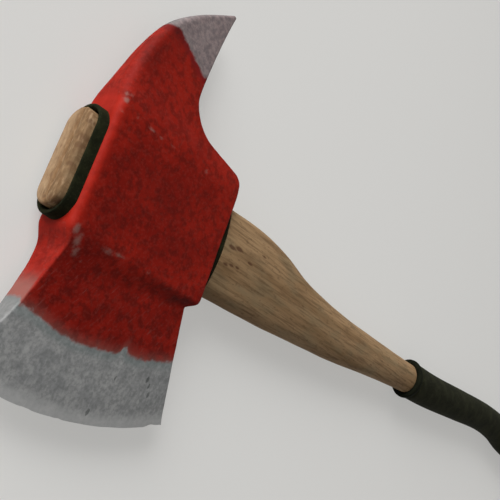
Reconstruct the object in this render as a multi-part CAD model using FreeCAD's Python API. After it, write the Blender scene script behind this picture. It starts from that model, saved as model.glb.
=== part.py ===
import FreeCAD, Part
import math
import os

# A fire axe lying on its side: a forged head with a broad bit and a pick, a curved wooden haft,
# a rubber sleeve between the haft and the eye, a wedge in the haft's end and a rubber grip.
# X runs along the haft towards the top of the head, Y towards the bit, Z up off the lower cheek.
# The origin is on the lower cheek, under the middle of the eye. All sizes are millimetres.

# Eye block
cheek_thickness = 34.0
head_height = 118.0
bit_cheek_reach = 42.0
pick_cheek_reach = 43.5
bit_shoulder_run = 6.0
bit_shoulder_fade = 16.0
pick_shoulder_run = 23.0
boss_drop = 5.0
boss_reach = 37.5
boss_bit_run = 10.5
boss_pick_run = 24.0
boss_edge_radius = 3.8
boss_end_radius = 20.0
boss_foot_radius = 15.0
lug_reach = 53.0
lug_lean = 10.5
lug_corner_radius = 8.5
bit_lug_reach = 41.0
bit_lug_radius = 5.7
cheek_crease_radius = 3.0
pick_crease_radius = 13.0

# Blade
bit_reach = 138.0
edge_radius = 266.0
edge_crest_rise = 11.5
heel_lift = 23.0
toe_lift = 20.0
flare_sag = 3.8
skirt_sag = 1.6
blade_foot_rise = 7.5
edge_flat = 0.8
bevel_width = 43.0
bevel_thickness = 16.0
blade_root_depth = 4.0
blade_root_thickness = 25.6
crease_radius = 4.5

# Pick
pick_reach = 160.0
pick_tip_drop = 13.0
pick_tip_radius = 1.6
pick_arch_sag = 2.2
pick_throat_rise = 1.4
pick_throat_radius = 23.0
pick_root_thickness = 22.0
pick_mid_thickness = 11.0
pick_tip_thickness = 2.8

# Eye and the rubber sleeve in it
eye_length = 63.0
eye_width = 23.0
eye_taper = 2.0
sleeve_wall = 1.2
lip_length = 72.2
lip_width = 27.6
lip_height = 7.2
lip_draft = 1.1
lip_edge_radius = 1.0
collar_height = 5.8

# Haft
handle_length = 914.0
haft_end_rise = 11.5
haft_end_radius = 3.0
shoulder_width = 67.0
shoulder_thickness = 28.5
haft_bow = 20.5

# Kerf and wedge
kerf_width = 1.2
kerf_depth = 88.0
wedge_thickness = 4.8
wedge_depth = 59.0

# Grip
grip_start_drop = 347.0
grip_wall = 4.3
grip_end_wall = 6.0
bead_length = 7.0
bead_rise = 1.2
groove_length = 5.0
groove_depth = 0.8
mouth_radius = 1.5
grip_end_radius = 3.0

# One overrun serves all cuts, and points nearer than this count as one place
overrun = 2.0
same_place = 0.6

# Down the haft from its shoulder: the share of its length, of the shoulder's width and thickness,
# and of the bow towards the pick
haft_shares = (
    (0.000, 1.000, 1.000, 0.09),
    (0.057, 1.000, 1.000, 0.16),
    (0.104, 0.930, 0.985, 0.10),
    (0.146, 0.800, 0.965, -0.03),
    (0.198, 0.700, 0.940, -0.08),
    (0.255, 0.630, 0.900, -0.06),
    (0.340, 0.535, 0.850, 0.10),
    (0.434, 0.465, 0.810, 0.26),
    (0.528, 0.445, 0.800, 0.38),
    (0.642, 0.440, 0.800, 0.70),
    (0.755, 0.430, 0.810, 1.00),
    (0.830, 0.460, 0.850, 0.97),
    (0.887, 0.510, 0.885, 0.72),
    (0.960, 0.540, 0.875, 0.52),
    (1.000, 0.530, 0.860, 0.37),
)
# How round the haft's narrow ends are: end radius over half the thickness
oval_share = 0.82
# Rings from the haft's shoulder to its foot, and steps round an eased end
haft_rings = 17
ease_steps = 2
# Where the pick's back passes, as shares of its reach past the boss and of its fall to the tip
pick_back_shares = ((0.187, 0.055), (0.427, 0.158), (0.638, 0.333), (0.81, 0.597))
# Where the pick is half as thick as at its root, along its length past the shoulder
pick_mid_share = 0.52

top = head_height / 2
base = -top
middle = cheek_thickness / 2
haft_top = top + haft_end_rise
shoulder_x = base - collar_height
handle_end = haft_top - handle_length
heel_rise = top + heel_lift
toe_drop = top + toe_lift
blade_root_y = bit_cheek_reach - blade_root_depth
stub = bevel_thickness / 4
haft_foot = handle_end + grip_end_wall
haft_length = shoulder_x - haft_foot
shoulder_shift = -haft_shares[0][3] * haft_bow


def vec(x, y, z=0.0):
    return FreeCAD.Vector(x, y, z)


def line(a, b):
    return Part.LineSegment(a, b).toShape()


def arc(a, b, c):
    return Part.Arc(a, b, c).toShape()


def bowed(a, b, sag):
    """An arc from a to b that bows by sag to the left of the way from a to b."""
    run = b - a
    side = vec(-run.y, run.x).normalize()
    return Part.Arc(a, (a + b) * 0.5 + side * sag, b)


def extruded(edges, way):
    return Part.Face(Part.Wire(edges)).extrude(way)


def upright(x, y):
    """Picks the edges that stand across the head at one place of its outline."""
    def chosen(edge):
        ends = [v.Point for v in edge.Vertexes]
        return len(ends) == 2 and all(math.hypot(p.x - x, p.y - y) < same_place for p in ends)
    return chosen


def rounded(shape, radius, chosen):
    return shape.makeFillet(radius, [e for e in shape.Edges if chosen(e)])


def oblong(x, width, thickness, shift=0.0):
    """A flat-sided oval across the haft, with full round ends."""
    r = thickness / 2
    a = shift - width / 2 + r
    b = shift + width / 2 - r
    low, high = middle - r, middle + r
    return Part.Wire([
        line(vec(x, a, low), vec(x, b, low)),
        arc(vec(x, b, low), vec(x, b + r, middle), vec(x, b, high)),
        line(vec(x, b, high), vec(x, a, high)),
        arc(vec(x, a, high), vec(x, a - r, middle), vec(x, a, low)),
    ])


def oval(x, width, thickness, shift):
    """A four-arc oval across the haft, its big side arcs tangent to its small end arcs."""
    a, b = width / 2, thickness / 2
    r = oval_share * b
    big = ((a - r) ** 2 + b ** 2 - r ** 2) / (2 * (b - r))
    ty = (a - r) * big / (big - r)
    tz = r * (big - b) / (big - r)

    def at(y, z):
        return vec(x, shift + y, middle + z)

    return Part.Wire([
        arc(at(-ty, -tz), at(0, -b), at(ty, -tz)),
        arc(at(ty, -tz), at(a, 0), at(ty, tz)),
        arc(at(ty, tz), at(0, b), at(-ty, tz)),
        arc(at(-ty, tz), at(-a, 0), at(-ty, -tz)),
    ])


# Head, seen from its cheek
edge_centre_y = bit_reach - edge_radius
boss_bit = vec(top, boss_reach)
boss_pick = vec(top, -boss_reach)
boss_foot = vec(top - boss_drop, boss_reach + boss_bit_run)
blade_foot = vec(base + blade_foot_rise, bit_cheek_reach + blade_root_depth)
lug = vec(base, -lug_reach)
throat = vec(pick_throat_rise, -lug_reach - lug_lean)
tip = vec(-pick_tip_drop, -pick_reach)
bit_lug = vec(base, bit_lug_reach)


def on_edge(x):
    """The cutting edge's point at a height x."""
    return vec(x, edge_centre_y + math.sqrt(edge_radius ** 2 - (x - edge_crest_rise) ** 2))


def run_out(curve, end, sign):
    """Where a side of the blade, carried straight on, leaves the metal past the cutting edge."""
    way = curve.tangent(end)[0] * sign
    start = curve.value(end)
    return start + way * ((bit_reach + overrun - start.y) / way.y)


def side_solid():
    """The whole outline of the head, as deep as its cheeks: its blade is left long."""
    flare = bowed(boss_foot, on_edge(heel_rise), flare_sag)
    skirt = bowed(on_edge(-toe_drop), blade_foot, skirt_sag)
    heel_out = run_out(flare, flare.LastParameter, 1)
    toe_out = run_out(skirt, skirt.FirstParameter, -1)
    fall = boss_pick.x - tip.x
    reach = boss_pick.y - tip.y
    back = Part.BSplineCurve()
    back.interpolate([tip] + [
        vec(boss_pick.x - fall * down, boss_pick.y - reach * out)
        for out, down in reversed(pick_back_shares)
    ] + [boss_pick])
    solid = extruded([
        flare.toShape(),
        line(flare.EndPoint, heel_out),
        line(heel_out, toe_out),
        line(toe_out, skirt.StartPoint),
        skirt.toShape(),
        line(blade_foot, bit_lug),
        line(bit_lug, lug),
        line(lug, throat),
        bowed(throat, tip, pick_arch_sag).toShape(),
        back.toShape(),
        line(boss_pick, boss_bit),
        line(boss_bit, boss_foot),
    ], vec(0, 0, cheek_thickness))
    for place, radius in (
        (throat, pick_throat_radius),
        (lug, lug_corner_radius),
        (bit_lug, bit_lug_radius),
        (tip, pick_tip_radius),
        (boss_bit, boss_end_radius),
        (boss_foot, boss_foot_radius),
    ):
        solid = rounded(solid, radius, upright(place.x, place.y))
    return solid


def block_solid():
    """The eye block and the pick, seen along the haft: flat cheeks, then a shoulder each way."""
    half = middle
    root = pick_root_thickness / 2
    mid = pick_mid_thickness / 2
    nib = pick_tip_thickness / 2
    shoulder_end = -pick_cheek_reach - pick_shoulder_run
    mid_y = shoulder_end - pick_mid_share * (pick_reach + shoulder_end)
    past_bevel = (half - stub) / (half - bevel_thickness / 2)

    def section(x, shoulder_run):
        def side(sign):
            curve = Part.BSplineCurve()
            curve.interpolate([
                vec(x, -pick_cheek_reach, middle + sign * half),
                vec(x, shoulder_end, middle + sign * root),
                vec(x, mid_y, middle + sign * mid),
                vec(x, -pick_reach - overrun, middle + sign * nib),
            ])
            cheek_end = vec(x, bit_cheek_reach, middle + sign * half)
            shoulder_foot = vec(x, bit_cheek_reach + shoulder_run * past_bevel, middle + sign * stub)
            return [line(shoulder_foot, cheek_end), line(cheek_end, curve.StartPoint), curve.toShape()]

        upper, lower = side(1), side(-1)
        tip_line = line(upper[2].lastVertex().Point, lower[2].lastVertex().Point)
        stub_line = line(lower[0].firstVertex().Point, upper[0].firstVertex().Point)
        return Part.Wire(upper + [tip_line] + lower[::-1] + [stub_line])

    solid = Part.makeLoft([
        section(base - overrun, bit_shoulder_run),
        section(heel_rise + overrun, bit_shoulder_run + bit_shoulder_fade),
    ], True, True)

    def crease(y):
        def chosen(edge):
            there = all(abs(v.Point.y - y) < same_place for v in edge.Vertexes)
            return there and edge.Length > head_height
        return chosen

    solid = rounded(solid, cheek_crease_radius, crease(bit_cheek_reach))
    return rounded(solid, pick_crease_radius, crease(-pick_cheek_reach))


def blade_solid():
    """A lens turned about the cutting edge's own centre, so its bevel follows the edge."""
    def side(sign):
        return Part.Arc(
            vec(edge_crest_rise, bit_reach, middle + sign * edge_flat / 2),
            vec(edge_crest_rise, bit_reach - bevel_width, middle + sign * bevel_thickness / 2),
            vec(edge_crest_rise, blade_root_y, middle + sign * blade_root_thickness / 2),
        )

    upper, lower = side(1), side(-1)
    inner_y = bit_cheek_reach / 2
    inner_up = vec(edge_crest_rise, inner_y, middle + blade_root_thickness / 2)
    inner_low = vec(edge_crest_rise, inner_y, middle - blade_root_thickness / 2)
    profile = Part.Face(Part.Wire([
        line(lower.StartPoint, upper.StartPoint),
        upper.toShape(),
        line(upper.EndPoint, inner_up),
        line(inner_up, inner_low),
        line(inner_low, lower.EndPoint),
        lower.toShape(),
    ]))
    centre = vec(edge_crest_rise, edge_centre_y)
    swing = math.degrees(math.asin((heel_rise + toe_drop) / edge_radius))
    profile.rotate(centre, vec(0, 0, 1), -swing)
    return profile.revolve(centre, vec(0, 0, 1), 2 * swing)


def boss_corner(sign):
    """What the rounded edge along one side of the raised boss leaves out."""
    r = boss_edge_radius
    near = -boss_reach - boss_pick_run
    far = boss_reach + boss_bit_run + overrun
    face = middle + sign * middle
    inner = face - sign * r
    outer = face + sign * overrun
    bend = r * math.sqrt(0.5)
    start, end = vec(top - r, near, face), vec(top, near, inner)
    corner = [vec(top + overrun, near, inner), vec(top + overrun, near, outer), vec(top - r, near, outer)]
    return extruded([
        arc(start, vec(top - r + bend, near, inner + sign * bend), end),
        line(end, corner[0]),
        line(corner[0], corner[1]),
        line(corner[1], corner[2]),
        line(corner[2], start),
    ], vec(0, far - near))


def eye_ring(x, wall=0.0):
    """The eye's outline at a height x, smaller all round by a wall: it widens towards the top."""
    grow = eye_taper * (x - base) / head_height - 2 * wall
    return oblong(x, eye_length + grow, eye_width + grow)


def eye_solid(low, high, wall=0.0):
    return Part.makeLoft([eye_ring(low, wall), eye_ring(high, wall)], True, True)


def eased(ring, x, radius, way):
    """Rings that round off an end at x. A ring is made from its place and how far it draws in."""
    rings = []
    for step in range(ease_steps + 1):
        turn = math.pi / 2 * step / ease_steps
        rings.append(ring(x - way * radius * (1 - math.sin(turn)), radius * (1 - math.cos(turn))))
    return rings


def axe_head():
    """Block and blade in one forging, with a soft crease between them, trimmed to the outline."""
    core = block_solid().fuse(blade_solid()).removeSplitter()

    def crease(edge):
        ends = [v.Point for v in edge.Vertexes]
        return len(ends) == 2 and all(
            p.y > bit_cheek_reach and stub < abs(p.z - middle) < blade_root_thickness / 2 for p in ends
        ) and edge.Length > head_height

    head = rounded(core, crease_radius, crease).common(side_solid())
    return head.cut([boss_corner(1), boss_corner(-1), eye_solid(base - overrun, top + overrun)])


def eye_sleeve():
    """A thin rubber sleeve that fills the eye, with a lip above the head and a collar below."""
    def lip_ring(x, inset):
        draft = lip_draft * (x - top) / lip_height + inset
        return oblong(x, lip_length - 2 * draft, lip_width - 2 * draft)

    lip = [lip_ring(top, 0)] + eased(lip_ring, top + lip_height, lip_edge_radius, 1)
    lip = Part.makeLoft(lip, True, True)
    collar = Part.Face(oval(shoulder_x, shoulder_width, shoulder_thickness, shoulder_shift))
    collar = collar.extrude(vec(collar_height, 0))
    sleeve = eye_solid(base, top).fuse([lip, collar]).removeSplitter()
    return sleeve.cut(eye_solid(shoulder_x - overrun, top + lip_height + overrun, sleeve_wall))


def haft_at(share):
    """Width, thickness and shift of the haft at a share of the way down, on smooth cubics."""
    rows = haft_shares
    last = len(rows) - 2
    i = max(j for j in range(last + 1) if rows[j][0] <= share or j == 0)
    step = rows[i + 1][0] - rows[i][0]
    t = (share - rows[i][0]) / step

    def slope(j, k):
        before, after = rows[max(j - 1, 0)], rows[min(j + 1, last + 1)]
        return (after[k] - before[k]) / (after[0] - before[0]) * step

    width, thickness, bow = [
        rows[i][k] * (1 + 2 * t) * (1 - t) ** 2 + slope(i, k) * t * (1 - t) ** 2
        + rows[i + 1][k] * t * t * (3 - 2 * t) + slope(i + 1, k) * t * t * (t - 1)
        for k in (1, 2, 3)
    ]
    return width * shoulder_width, thickness * shoulder_thickness, -bow * haft_bow


def haft_ring(x, wall=0.0):
    """The haft's oval at a place x, grown all round by a wall: past its foot it stays as it is."""
    width, thickness, shift = haft_at(min(1, (shoulder_x - x) / haft_length))
    return oval(x, width + 2 * wall, thickness + 2 * wall, shift)


def spread(start, end, count):
    """Evenly spaced places from start to end."""
    return [start + (end - start) * i / (count - 1) for i in range(count)]


def tongue():
    """The haft's end in the eye, with its edges eased where it stands out above the head."""
    def ring(x, inset):
        return eye_ring(x, sleeve_wall + inset)

    rings = [eye_ring(shoulder_x, sleeve_wall)] + eased(ring, haft_top, haft_end_radius, 1)
    return Part.makeLoft(rings, True, True)


def across(points):
    """A prism along Y, wider than the eye, on a profile in X and half thickness."""
    far = eye_length / 2 + eye_taper + overrun
    ring = [vec(x, -far, middle + z) for x, z in points]
    ring += [vec(x, -far, middle - z) for x, z in reversed(points)]
    return extruded([line(a, b) for a, b in zip(ring, ring[1:] + ring[:1])], vec(0, 2 * far))


def haft():
    """A curved haft with a sawn kerf, opened by its wedge, in the end that fills the eye."""
    body = Part.makeLoft([haft_ring(x) for x in spread(shoulder_x, haft_foot, haft_rings)], True, True)
    slope = (wedge_thickness - kerf_width) / 2 / wedge_depth
    slot = across([
        (haft_top - kerf_depth, kerf_width / 2),
        (haft_top - wedge_depth, kerf_width / 2),
        (haft_top + overrun, wedge_thickness / 2 + slope * overrun),
    ])
    return body.fuse(tongue()).removeSplitter().cut(slot)


def haft_wedge():
    """A hardwood wedge that fills the upper part of the kerf, cut flush with the haft's end."""
    blank = across([
        (haft_top - wedge_depth, kerf_width / 2),
        (haft_top, wedge_thickness / 2),
    ])
    return tongue().common(blank)


def grip_sleeve(wood):
    """A closed rubber boot over the lower haft, with a bead and a groove round its mouth."""
    mouth = shoulder_x - grip_start_drop
    bead_end = mouth - bead_length
    groove_end = bead_end - groove_length

    def bead_ring(x, inset):
        return haft_ring(x, grip_wall + bead_rise - inset)

    def foot_ring(x, inset):
        return haft_ring(x, grip_wall - inset)

    bead = eased(bead_ring, bead_end, mouth_radius, -1)[::-1] + eased(bead_ring, mouth, mouth_radius, 1)
    groove = [haft_ring(x, grip_wall - groove_depth) for x in (groove_end, bead_end)]
    places = spread(groove_end, handle_end + grip_end_radius, haft_rings // 2)
    boot = [haft_ring(x, grip_wall) for x in places[:-1]]
    boot += eased(foot_ring, handle_end, grip_end_radius, -1)
    solids = [Part.makeLoft(rings, True, True) for rings in (bead, groove, boot)]
    return solids[0].fuse(solids[1:]).removeSplitter().cut(wood)


os.makedirs("parts", exist_ok=True)
wood = haft()
for name, shape in (
    ("axe_head", axe_head()),
    ("eye_sleeve", eye_sleeve()),
    ("haft", wood),
    ("haft_wedge", haft_wedge()),
    ("grip_sleeve", grip_sleeve(wood)),
):
    shape.exportStep("parts/" + name + ".step")
    print(name, len(shape.Solids), "solid", round(shape.Volume), "mm3", shape.isValid())
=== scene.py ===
# %% [markdown]
# # A worn fire axe
# The axe has a forged steel head with a flared bit and a hooked pick, a curved hardwood haft held in
# the head's eye by a rubber sleeve and a wedge, and a rubber boot as its grip. It lies on its side.
# The frame gives each piece's real place and size, so every cell below works in the same space.

# %% The frame
import math
import bpy
import numpy as np
from mathutils import Matrix, Vector


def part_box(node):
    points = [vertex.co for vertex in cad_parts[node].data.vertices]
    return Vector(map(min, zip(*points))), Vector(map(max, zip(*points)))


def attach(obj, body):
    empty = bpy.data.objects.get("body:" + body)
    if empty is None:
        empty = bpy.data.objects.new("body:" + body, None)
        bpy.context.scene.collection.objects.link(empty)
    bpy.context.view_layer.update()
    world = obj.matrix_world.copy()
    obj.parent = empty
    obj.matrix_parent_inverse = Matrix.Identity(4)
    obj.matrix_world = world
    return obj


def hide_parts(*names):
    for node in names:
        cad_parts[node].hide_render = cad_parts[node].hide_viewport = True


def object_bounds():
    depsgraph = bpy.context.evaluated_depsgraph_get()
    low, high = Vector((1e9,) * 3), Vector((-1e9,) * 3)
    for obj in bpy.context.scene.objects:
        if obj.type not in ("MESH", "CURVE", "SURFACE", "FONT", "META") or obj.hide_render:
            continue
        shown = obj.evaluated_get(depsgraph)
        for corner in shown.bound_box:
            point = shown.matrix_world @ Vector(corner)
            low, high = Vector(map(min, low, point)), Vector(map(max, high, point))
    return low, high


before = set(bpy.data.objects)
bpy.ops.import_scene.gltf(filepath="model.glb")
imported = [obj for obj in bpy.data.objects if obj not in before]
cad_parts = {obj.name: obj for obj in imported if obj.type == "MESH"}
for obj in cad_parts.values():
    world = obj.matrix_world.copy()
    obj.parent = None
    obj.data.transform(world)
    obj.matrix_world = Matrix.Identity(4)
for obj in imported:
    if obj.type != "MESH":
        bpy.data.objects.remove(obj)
cad_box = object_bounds()
print("The axe fills", [round(x, 4) for x in cad_box[0]], "to", [round(x, 4) for x in cad_box[1]])

# %% [markdown]
# A drawing of an axe is in millimetres and Blender works in metres, so the shapes below are written in
# millimetres and turned into metres once, where a mesh is made. X runs along the haft towards the top
# of the head, Y towards the cutting edge and Z up, square to the cheeks.

# %% Places from the frame
MM = 0.001


def box_in_mm(node):
    """The lowest and highest corner of a CAD node, in millimetres."""
    return [np.array(corner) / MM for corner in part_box(node)]


head_low, head_high = box_in_mm("axe_head")
haft_low, haft_high = box_in_mm("haft")
sleeve_low, sleeve_high = box_in_mm("eye_sleeve")
grip_low, grip_high = box_in_mm("grip_sleeve")
middle = (head_low[2] + head_high[2]) / 2
print("Head", head_low.round(1), head_high.round(1), "middle plane at", round(middle, 2))

# %% [markdown]
# ## The camera
# The photograph looks down on the head from its upper right, with a lens of normal length. The camera
# gets a place, a point to aim at and a way up, because these three say what a photographer would say.

# %% The camera


def stand(name, data):
    """A new object in the scene, from its data."""
    thing = bpy.data.objects.new(name, data)
    bpy.context.scene.collection.objects.link(thing)
    return thing


camera_place = Vector((0.2736343, 0.1238423, 0.3522932))
camera_aim = Vector((-0.1075405, -0.0193186, 0.017))
camera_up = Vector((0.40644291, -0.91073919, -0.0732003))
lens_length = 50.305
sensor_width = 36.0

forward = (camera_aim - camera_place).normalized()
right = forward.cross(camera_up).normalized()
upward = right.cross(forward)
camera_data = bpy.data.cameras.new("camera")
camera_data.lens = lens_length
camera_data.sensor_width = sensor_width
camera_data.clip_start = 0.01
camera = stand("camera", camera_data)
camera_turn = Matrix((right, upward, -forward)).transposed().to_4x4()
camera.matrix_world = Matrix.Translation(camera_place) @ camera_turn
bpy.context.scene.camera = camera
print("The camera stands", round((camera_aim - camera_place).length, 3), "m from what it looks at")

# %% [markdown]
# ## Material helpers
# Every finish below is a graph of nodes. It could be wired by hand in the Shader Editor, but a script
# that names each step can be read from top to bottom, and a small class keeps it short. Colours are
# written as the eye reads them, 0 to 255, and turned into the linear light that a shader works with.

# %% Node helpers


def seen(red, green, blue):
    """A colour written 0 to 255 as linear light, with the sRGB curve undone."""
    parts = [value / 255 for value in (red, green, blue)]
    return [v / 12.92 if v <= 0.04045 else ((v + 0.055) / 1.055) ** 2.4 for v in parts] + [1.0]


class Graph:
    """The nodes of a new material or world, which are added one at a time."""

    def __init__(self, owner):
        """Takes the owner's tree and the one shader that it starts with."""
        owner.use_nodes = True
        self.owner, self.tree = owner, owner.node_tree
        self.shader = self.tree.nodes.get("Principled BSDF") or self.tree.nodes["Background"]
        self.place = self.add("TexCoord").outputs["Object"]

    def add(self, kind, sockets=None, **settings):
        """A new shader node. A socket's value is a number, a colour or another node's output."""
        node = self.tree.nodes.new("ShaderNode" + kind)
        for key, value in settings.items():
            setattr(node, key, value)
        for key, value in (sockets or {}).items():
            self.feed(node.inputs[key], value)
        return node

    def feed(self, socket, value):
        """Links a node's output to a socket, or sets the socket to a plain value."""
        if isinstance(value, bpy.types.NodeSocket):
            self.tree.links.new(value, socket)
        else:
            socket.default_value = value

    def shade(self, **sockets):
        """Feeds the shader's sockets, whose spaces are written as underscores."""
        for key, value in sockets.items():
            self.feed(self.shader.inputs[key.replace("_", " ")], value)

    def math(self, what, a, b):
        """One sum, difference, product or the like of two values."""
        return self.add("Math", {0: a, 1: b}, operation=what).outputs[0]

    def times(self, a, b):
        """One value times the other."""
        return self.math("MULTIPLY", a, b)

    def noise(self, size, detail=4.0, rough=0.55, where=None):
        """Cloudy noise whose patches are about so many millimetres wide."""
        return self.add("TexNoise", {
            "Vector": where or self.place, "Scale": 1 / (size * MM),
            "Detail": detail, "Roughness": rough,
        }).outputs["Fac"]

    def stretched(self, along, across, depth, turn=(0.0, 0.0, 0.0)):
        """Places squeezed so that a pattern of 1 mm is that long, wide and deep in millimetres."""
        turned = self.add("Mapping", {"Vector": self.place, "Rotation": turn})
        squeeze = (1 / along, 1 / across, 1 / depth)
        return self.add("Mapping", {"Vector": turned.outputs[0], "Scale": squeeze}).outputs[0]

    def mask(self, value, low, high):
        """0 below low, 1 above high, and a smooth step between."""
        return self.add("MapRange", {
            "Value": value, "From Min": low, "From Max": high,
        }, interpolation_type="SMOOTHSTEP").outputs[0]

    def frayed(self, value, noise, low, high):
        """A mask whose edge is frayed by the noise that is added to its value."""
        return self.mask(self.math("ADD", value, noise), low, high)

    def between(self, value, low, high):
        """A value from 0 to 1, carried onto the way from low to high."""
        return self.add("MapRange", {"Value": value, "To Min": low, "To Max": high}).outputs[0]

    def along(self, axis):
        """How far a place lies along an axis, 0 for X to 2 for Z, in millimetres."""
        return self.math("DIVIDE", self.add("SeparateXYZ", {0: self.place}).outputs[axis], MM)

    def looked_at(self):
        """1 for rays from the camera or a shiny thing, 0 for those that only bring light."""
        ray = self.add("LightPath").outputs
        return self.math("MAXIMUM", ray["Is Camera Ray"], ray["Is Glossy Ray"])

    def mix(self, share, a, b):
        """Two colours mixed: a times one less the share, plus b times the share."""
        a, b = (seen(*c) if isinstance(c, tuple) else c for c in (a, b))
        return self.add("Mix", {0: share, 6: a, 7: b}, data_type="RGBA").outputs[2]

    def layer(self, base, *tints):
        """Tints laid over a base in turn, each given by its mask, its strength and its colour."""
        for where, strength, colour in tints:
            base = self.mix(self.times(where, strength), base, colour)
        return base

    def trait(self, name):
        """A number stored on the piece's own vertices."""
        return self.add("Attribute", attribute_name=name).outputs["Fac"]

    def spots(self, places, squeeze):
        """1 at the middle of some soft spots and 0 from their reach away, in millimetres."""
        strongest = 0.0
        for *place, reach in places:
            centre = [x * MM for x in place]
            shares = [s / (reach * MM) for s in squeeze]
            apart = self.add("VectorMath", {0: self.place, 1: centre}, operation="SUBTRACT")
            squeezed = self.add("VectorMath", {0: apart.outputs[0], 1: shares}, operation="MULTIPLY")
            away = self.add("VectorMath", {0: squeezed.outputs[0]}, operation="LENGTH").outputs["Value"]
            spot = self.math("SUBTRACT", 1.0, self.mask(away, 0.2, 1.0))
            strongest = self.math("MAXIMUM", strongest, spot)
        return strongest

    def bump(self, height, depth, strength=1.0, under=None):
        """Fine relief so many millimetres deep."""
        sockets = {"Height": height, "Distance": depth * MM, "Strength": strength}
        if under:
            sockets["Normal"] = under
        return self.add("Bump", sockets).outputs[0]


print("Deep red is", [round(v, 3) for v in seen(137, 35, 26)])

# %% [markdown]
# ## The studio
# A plain pale floor carries the axe. One broad lamp stands well beyond the head's top, so that the
# faces that look that way are the brightest, as in the photograph. Its light fans out little, so the
# floor beneath it isn't burnt white. A weaker lamp and a dim pale world fill the shadows. The camera
# and shiny things see floor and world brighter than they light the axe.

# %% The floor
floor_size, floor_drop, floor_glow = 8.0, 0.0003, 0.45
ground = Graph(bpy.data.materials.new("studio_floor"))
ground.shade(Base_Color=seen(226, 225, 222), Roughness=0.9)
lit = ground.add("Emission", {"Color": seen(232, 231, 228), "Strength": 1.0})
glow_share = ground.times(ground.looked_at(), floor_glow)
both = ground.add("MixShader", {
    0: glow_share, 1: ground.shader.outputs[0], 2: lit.outputs[0]})
ground.feed(ground.tree.nodes["Material Output"].inputs["Surface"], both.outputs[0])

corners = np.array([(-1, -1), (1, -1), (1, 1), (-1, 1)]) * floor_size / 2
floor_mesh = bpy.data.meshes.new("floor")
floor_mesh.from_pydata([(x, y, cad_box[0].z - floor_drop) for x, y in corners], [], [(0, 1, 2, 3)])
floor_mesh.materials.append(ground.owner)
floor = stand("floor", floor_mesh)
print("The floor is", floor_size, "m wide")

# %% The lamps


def lamp(name, place, aim, size, power, spread=180.0):
    """A soft square lamp at a place, turned to a point, whose light fans out by so many degrees."""
    data = bpy.data.lights.new(name, "AREA")
    data.size = size
    data.energy = power
    data.spread = math.radians(spread)
    light = stand(name, data)
    light.location = place
    light.rotation_mode = "QUATERNION"
    light.rotation_quaternion = (Vector(aim) - Vector(place)).to_track_quat("-Z", "Y")
    print(name, "gives", power, "W from", round(Vector(place).length, 2), "m")


lamp("key_lamp", (2.2, -1.86, 1.14), (0.0, 0.0, 0.0), 2.3, 28.0, 70.0)
lamp("fill_lamp", (0.5, 1.3, 1.5), (-0.2, 0.0, 0.0), 1.4, 3.0)

# %% The world
lighting_level, seen_level = 0.13, 0.5
world = Graph(bpy.data.worlds.new("studio"))
level = world.between(world.looked_at(), lighting_level, seen_level)
world.shade(Color=seen(255, 254, 252), Strength=level)
bpy.context.scene.world = world.owner
bpy.context.scene.view_settings.view_transform = "Standard"
print("The world lights the axe at", lighting_level, "and is seen at", seen_level)

# %% [markdown]
# ## From grids to meshes
# A surface is a grid of points, and neighbouring rows and columns make four-sided faces. The last
# column always meets the first, and the last row too where the rows are a ring. Where a row shrinks to
# a line, its doubled points are merged, so that the end is truly shut.
# Modifiers could bevel and smooth simpler solids, but on a grid a formula sets every point, and the
# same numbers that shape a place can tell its finish where to go.

# %% A mesh from a grid


def grid_faces(rows, columns, ring_of_rows):
    """Four-sided faces between neighbours, each given by the numbers of its four points."""
    r = np.arange(rows if ring_of_rows else rows - 1)[:, None]
    c = np.arange(columns)[None, :]
    r_next, c_next = (r + 1) % rows, (c + 1) % columns
    corners = [r * columns + c, r * columns + c_next, r_next * columns + c_next, r_next * columns + c]
    return np.stack(corners, -1).reshape(-1, 4)


def make_piece(name, grids, sharp, traits=None, ring_of_rows=False):
    """An object from grids of points in millimetres, smooth but for edges that bend more than sharp."""
    points, faces, count = [], [], 0
    for grid in grids:
        faces.append(grid_faces(grid.shape[0], grid.shape[1], ring_of_rows) + count)
        points.append(grid.reshape(-1, 3))
        count += len(points[-1])
    mesh = bpy.data.meshes.new(name)
    mesh.from_pydata(np.concatenate(points) * MM, [], np.concatenate(faces))
    for key, values in (traits or {}).items():
        mesh.attributes.new(key, "FLOAT", "POINT").data.foreach_set("value", values.ravel())
    close_up(mesh)
    mesh.shade_smooth()
    mesh.set_sharp_from_angle(angle=math.radians(sharp))
    print(name, len(mesh.vertices), "points", len(mesh.polygons), "faces")
    return stand(name, mesh)


# %% [markdown]
# Merging and turning the faces is bmesh's work, which knows the inside of a shell that is closed.

# %% Closing a mesh
import bmesh

same_place = 0.002 * MM


def close_up(mesh):
    """Joins points in one place and turns all faces outwards."""
    work = bmesh.new()
    work.from_mesh(mesh)
    bmesh.ops.remove_doubles(work, verts=work.verts, dist=same_place)
    bmesh.ops.recalc_face_normals(work, faces=work.faces)
    work.to_mesh(mesh)
    work.free()


# %% [markdown]
# ## Rough by hand, the same each time
# Forged and worn surfaces are never quite even. A sum of waves in seeded random directions is uneven
# too, can be worked out for all points at once and comes out the same in every run.

# %% Unevenness


def uneven(x, y, size, seed, waves=14):
    """The mean of waves about so many millimetres long, in random directions: about -1 to 1."""
    rng = np.random.default_rng(seed)
    turn, phase = rng.uniform(0, 2 * np.pi, (2, waves))
    pace = 2 * np.pi / (size * rng.uniform(0.7, 1.6, waves))
    along = x[..., None] * np.cos(turn) + y[..., None] * np.sin(turn)
    return np.sin(along * pace + phase).sum(-1) / np.sqrt(waves)


# %% [markdown]
# ## The head's outline
# Seen square to a cheek the head is an outline of arcs, straight lines and rounded corners. Here it is
# two paths from the cutting edge to the pick's tip, one over the head and one under it. A path is a
# row of points close together, and a place on it is a length from its start.

# %% Paths


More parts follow.
